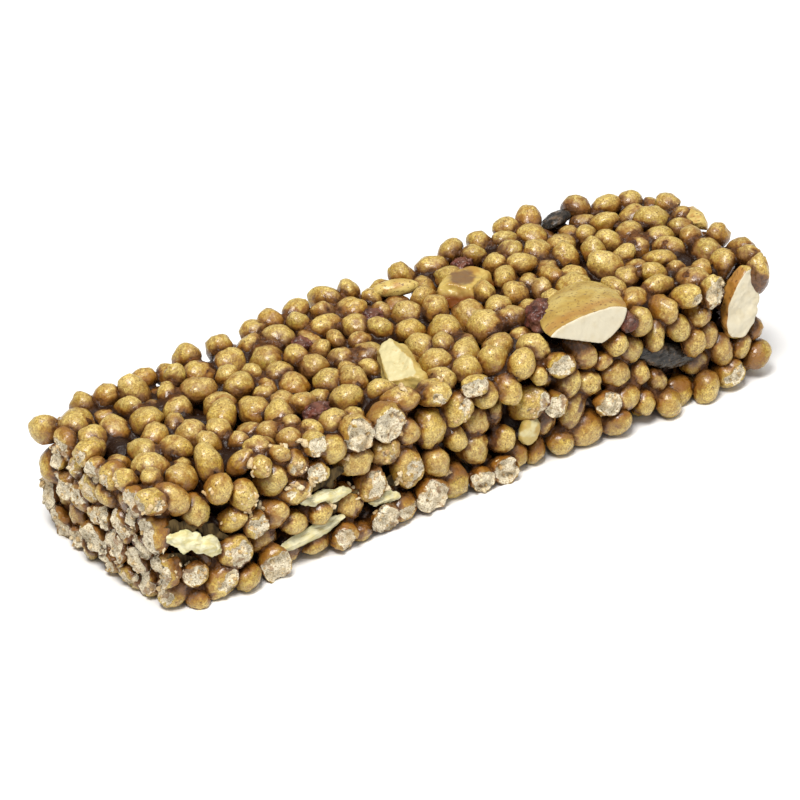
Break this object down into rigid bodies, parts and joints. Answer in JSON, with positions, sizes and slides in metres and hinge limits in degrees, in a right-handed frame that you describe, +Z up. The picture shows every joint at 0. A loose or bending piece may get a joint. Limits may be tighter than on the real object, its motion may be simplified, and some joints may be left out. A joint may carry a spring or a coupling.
{
  "type": "protein bar",
  "caption": "Block-shaped snack bar of crisped grain balls bound in syrup, with nuts, seeds and dried fruit set in it, knife-cut at the sides.",
  "frame": {"origin": "on the ground under the middle of the bar's bounding box", "axes": "+X along the bar towards the end with the upright nut slice, -Y towards its front side with the seed shards, +Z up"},
  "size_m": [0.1144, 0.0402, 0.0226],
  "materials": {
    "crisp": "puffed grain crisps coated in dried syrup, sliced open and matte on the cut sides",
    "almond_skin": "glazed almond with a matte cream cut face",
    "almond_flesh": "cut almond flesh",
    "nut_flesh": "broken pale nut",
    "caramel": "nut under dark syrup",
    "seed_hull": "dark seed hull under syrup",
    "kernel": "split seed kernel",
    "fruit": "wrinkled dried fruit"
  },
  "bodies": {
    "root": {"crisp_mass": "crisp", "almond_half": "almond_skin", "almond_end": "almond_flesh", "nut_chunk": "nut_flesh", "almond_glazed": "caramel", "nut_sliver": "almond_skin", "nut_far": "nut_flesh", "nut_front": "almond_flesh", "seed_front": "seed_hull", "seed_back": "seed_hull", "shard_near": "kernel", "shard_middle": "kernel", "shard_long": "kernel", "shard_foot": "kernel", "fruit_1": "fruit", "fruit_2": "fruit", "fruit_3": "fruit", "fruit_4": "fruit", "fruit_5": "fruit", "fruit_6": "fruit"}
  },
  "joints": []
}
